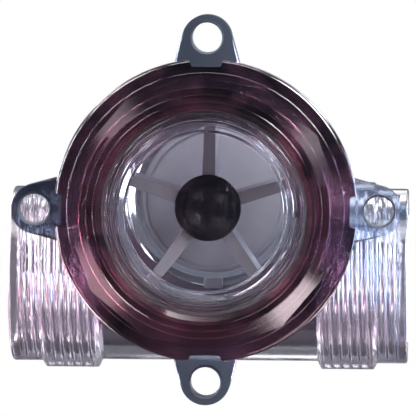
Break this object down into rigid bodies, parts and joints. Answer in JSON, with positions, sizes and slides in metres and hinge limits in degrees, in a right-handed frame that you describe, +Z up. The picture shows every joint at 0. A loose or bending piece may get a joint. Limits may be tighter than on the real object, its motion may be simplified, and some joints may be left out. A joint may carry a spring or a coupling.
{
  "type": "sight glass",
  "caption": "Clear moulded paddle-wheel flow indicator: a round windowed chamber on a straight pipe with two threaded ports, a bayonet locking ring and mounting ears.",
  "frame": {"origin": "centre of the mounting ears' bolt circle, on the ears' rear face", "axes": "+X along the pipe, +Y from the window towards the back of the body, +Z up"},
  "size_m": [0.0944, 0.0618, 0.0918],
  "materials": {
    "smoke_body": "smoke-tinted clear moulding",
    "clear_window": "polished clear moulding",
    "plum_ring": "dark plum translucent moulding, polished",
    "hub_black": "black, moulded gloss",
    "blade_grey": "grey, moulded satin",
    "seal_rubber": "black rubber",
    "washer_dark": "dark low-friction sheet",
    "washer_white": "white low-friction sheet",
    "bushing_ivory": "ivory, moulded",
    "axle_steel": "ground stainless"
  },
  "bodies": {
    "housing": {"body": "smoke_body", "lens": "clear_window", "lens_o_ring": "seal_rubber", "slip_washer": "washer_dark", "axle": "axle_steel", "axle_clip": "axle_steel", "front_thrust_washer": "washer_white", "rear_thrust_washer": "washer_white"},
    "rotor": {"rotor_hub": "hub_black", "hub_cap": "hub_black", "blade_1": "blade_grey", "blade_2": "blade_grey", "blade_3": "blade_grey", "blade_4": "blade_grey", "blade_5": "blade_grey", "front_bushing": "bushing_ivory", "rear_bushing": "bushing_ivory"},
    "ring": {"locking_ring": "plum_ring"}
  },
  "joints": [
    {"name": "rotor_spin", "type": "hinge", "parent": "housing", "child": "rotor", "pos_m": [0, 0.014, 0], "axis": [0, -1, 0], "continuous": true},
    {"name": "ring_turn", "type": "hinge", "parent": "housing", "child": "ring", "pos_m": [0, -0.012, 0], "axis": [0, -1, 0], "range_deg": [0, 30]}
  ]
}
